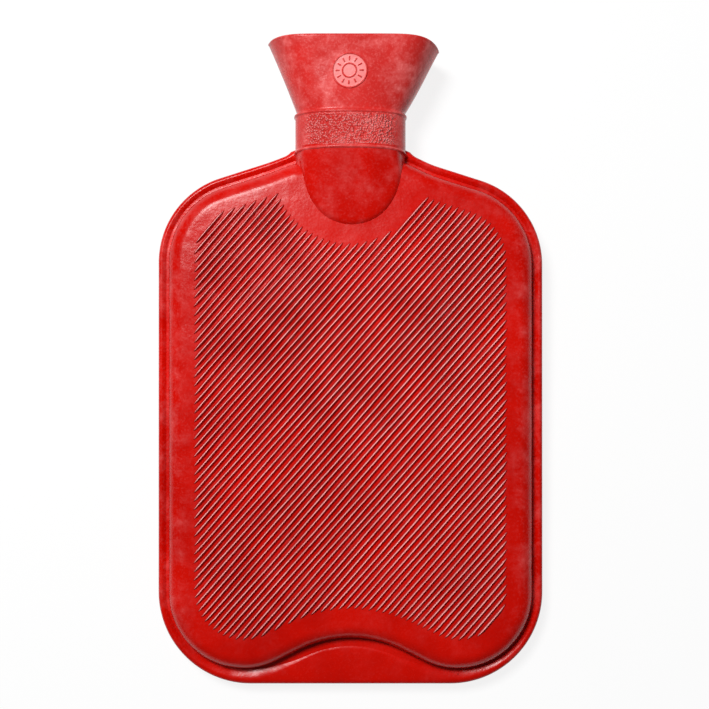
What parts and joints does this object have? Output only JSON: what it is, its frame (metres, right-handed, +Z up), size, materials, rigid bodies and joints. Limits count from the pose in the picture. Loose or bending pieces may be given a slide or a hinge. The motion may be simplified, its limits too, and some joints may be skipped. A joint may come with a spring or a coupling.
{
  "type": "hot water bottle",
  "caption": "Flat rubber hot water bottle with a diagonally ribbed front, flared filling funnel and recessed screw stopper, lying on its back.",
  "frame": {"origin": "middle of the bottle's overall length and width, on the surface it lies on", "axes": "+X across the bottle, +Y from the foot edge towards the funnel, +Z up out of the ribbed front"},
  "size_m": [0.2, 0.3336, 0.045],
  "materials": {
    "red_rubber": "satin",
    "bush_brass": "satin",
    "stopper_plastic": "matt",
    "washer_rubber": "matt"
  },
  "bodies": {
    "bottle": {"bottle": "red_rubber", "neck_bush": "bush_brass"},
    "washer": {"stopper_washer": "washer_rubber"},
    "stopper": {"stopper": "stopper_plastic"}
  },
  "joints": [
    {"name": "stopper_rise", "type": "slide", "parent": "bottle", "child": "washer", "axis": [0, 0.9995, 0.0331], "range_m": [0, 0.015]},
    {"name": "stopper_turn", "type": "hinge", "parent": "washer", "child": "stopper", "pos_m": [0, 0.1266, 0.02118], "axis": [0, 0.9995, 0.0331], "range_deg": [0, 1350]}
  ],
  "couplings": [
    {"joint": "stopper_rise", "follows": "stopper_turn", "m_per_rad": 0.00063661}
  ]
}
